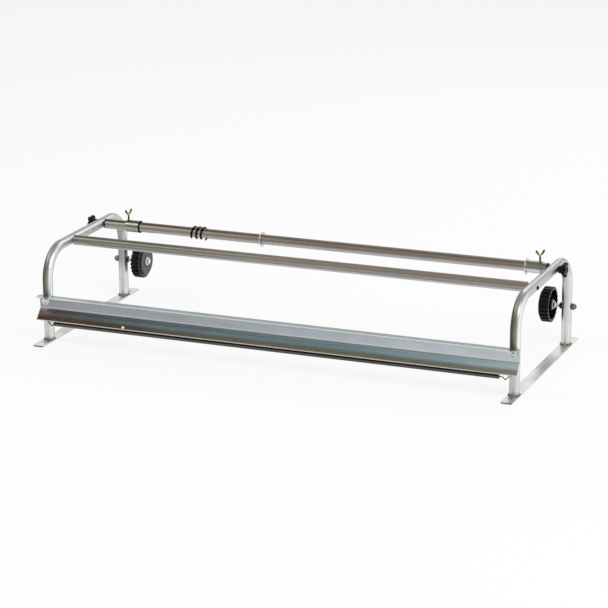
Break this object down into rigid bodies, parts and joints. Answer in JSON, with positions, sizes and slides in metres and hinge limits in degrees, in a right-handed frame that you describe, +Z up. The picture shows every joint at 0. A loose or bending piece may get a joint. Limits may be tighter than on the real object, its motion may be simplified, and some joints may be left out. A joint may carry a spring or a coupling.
{
  "type": "masking paper dispenser",
  "caption": "Bench-top dispenser for masking paper: bent tube frames, paper spindle with collars, toothed cutter plate, presser rod and tape hubs.",
  "frame": {"origin": "on the bench, under the middle of the machine", "axes": "+X along the paper width, from the left to the right frame; +Y from the cutter plate to the rear; +Z up"},
  "size_m": [1.122, 0.48, 0.2385],
  "materials": {
    "frame_zinc": "bright zinc plating with a soft satin sheen",
    "bar_zinc": "bright zinc plated flat bar, lightly rolled",
    "weld_metal": "darkened weld bead",
    "tube_zinc": "zinc plated tube, slightly warm, drawn along its length",
    "collar_zinc": "turned and zinc plated, clear passivated",
    "bright_steel": "bright zinc plated fastener steel",
    "dark_fastener": "black oxide steel",
    "yellow_brass": "cast brass, rubbed bright at the wing tips",
    "black_plastic": "moulded black plastic, slight gloss",
    "hub_plastic": "moulded black plastic with fine ribs",
    "black_wire": "blackened spring wire",
    "white_nylon": "natural white nylon",
    "plate_zinc": "clear passivated zinc plate with a faint blue and yellow bloom",
    "rod_steel": "blackened round steel, slightly oily"
  },
  "bodies": {
    "frame": {"left_side_frame": "frame_zinc", "right_side_frame": "frame_zinc", "left_base_bar": "bar_zinc", "right_base_bar": "bar_zinc", "foot_welds": "weld_metal", "guide_tube": "tube_zinc", "guide_tube_plugs": "bright_steel", "guide_tube_screws": "dark_fastener", "left_hub_axle": "bright_steel", "right_hub_axle": "bright_steel", "axle_dome_nuts": "bright_steel", "axle_lock_nuts": "dark_fastener", "hub_outer_nuts": "bright_steel", "hub_outer_washers": "bright_steel", "hub_inner_washers": "white_nylon", "hub_inner_nuts": "bright_steel", "cutter_plate": "plate_zinc", "plate_screws": "bright_steel", "plate_washers": "bright_steel", "plate_rivet_nuts": "bright_steel", "lip_rivet": "bright_steel", "left_rod_hook": "black_wire", "right_rod_hook": "black_wire"},
    "spindle": {"spindle_tube": "tube_zinc", "spindle_plugs": "black_plastic"},
    "left_clamp_knob": {"left_knob": "black_plastic", "left_knob_stud": "bright_steel"},
    "right_clamp_knob": {"right_knob": "black_plastic", "right_knob_stud": "bright_steel"},
    "left_stop": {"left_collar": "collar_zinc", "left_stop_ring": "black_wire"},
    "right_stop": {"right_collar": "collar_zinc", "right_roll_disc": "collar_zinc"},
    "left_wing": {"left_wing_screw": "yellow_brass"},
    "right_wing": {"right_wing_screw": "yellow_brass"},
    "divider": {"divider_disc": "collar_zinc"},
    "coil": {"drag_spring": "black_wire"},
    "left_hub": {"left_tape_hub": "hub_plastic"},
    "right_hub": {"right_tape_hub": "hub_plastic"},
    "rod": {"presser_rod": "rod_steel"}
  },
  "joints": [
    {"name": "spindle_turn", "type": "hinge", "parent": "frame", "child": "spindle", "pos_m": [0, 0.079, 0.2005], "axis": [1, 0, 0], "continuous": true},
    {"name": "left_knob_turn", "type": "hinge", "parent": "frame", "child": "left_clamp_knob", "pos_m": [-0.552, 0.079, 0.2005], "axis": [-1, 0, 0], "continuous": true},
    {"name": "right_knob_turn", "type": "hinge", "parent": "frame", "child": "right_clamp_knob", "pos_m": [0.552, 0.079, 0.2005], "axis": [1, 0, 0], "continuous": true},
    {"name": "left_collar_slide", "type": "slide", "parent": "spindle", "child": "left_stop", "axis": [1, 0, 0], "range_m": [-0.045, 0.06]},
    {"name": "right_collar_slide", "type": "slide", "parent": "spindle", "child": "right_stop", "axis": [1, 0, 0], "range_m": [-0.38, 0.006]},
    {"name": "left_wing_turn", "type": "hinge", "parent": "left_stop", "child": "left_wing", "pos_m": [-0.463, 0.079, 0.2255], "axis": [0, 0, 1], "continuous": true},
    {"name": "right_wing_turn", "type": "hinge", "parent": "right_stop", "child": "right_wing", "pos_m": [0.502, 0.079, 0.2255], "axis": [0, 0, 1], "continuous": true},
    {"name": "divider_slide", "type": "slide", "parent": "spindle", "child": "divider", "axis": [1, 0, 0], "range_m": [-0.085, 0.2]},
    {"name": "coil_slide", "type": "slide", "parent": "spindle", "child": "coil", "axis": [1, 0, 0], "range_m": [-0.055, 0.045]},
    {"name": "left_hub_turn", "type": "hinge", "parent": "frame", "child": "left_hub", "pos_m": [-0.4834, 0.185, 0.089], "axis": [1, 0, 0], "continuous": true},
    {"name": "right_hub_turn", "type": "hinge", "parent": "frame", "child": "right_hub", "pos_m": [0.4894, 0.185, 0.089], "axis": [1, 0, 0], "continuous": true},
    {"name": "rod_turn", "type": "hinge", "parent": "frame", "child": "rod", "pos_m": [-0.003, -0.2011, 0.044], "axis": [1, 0, 0], "continuous": true}
  ]
}
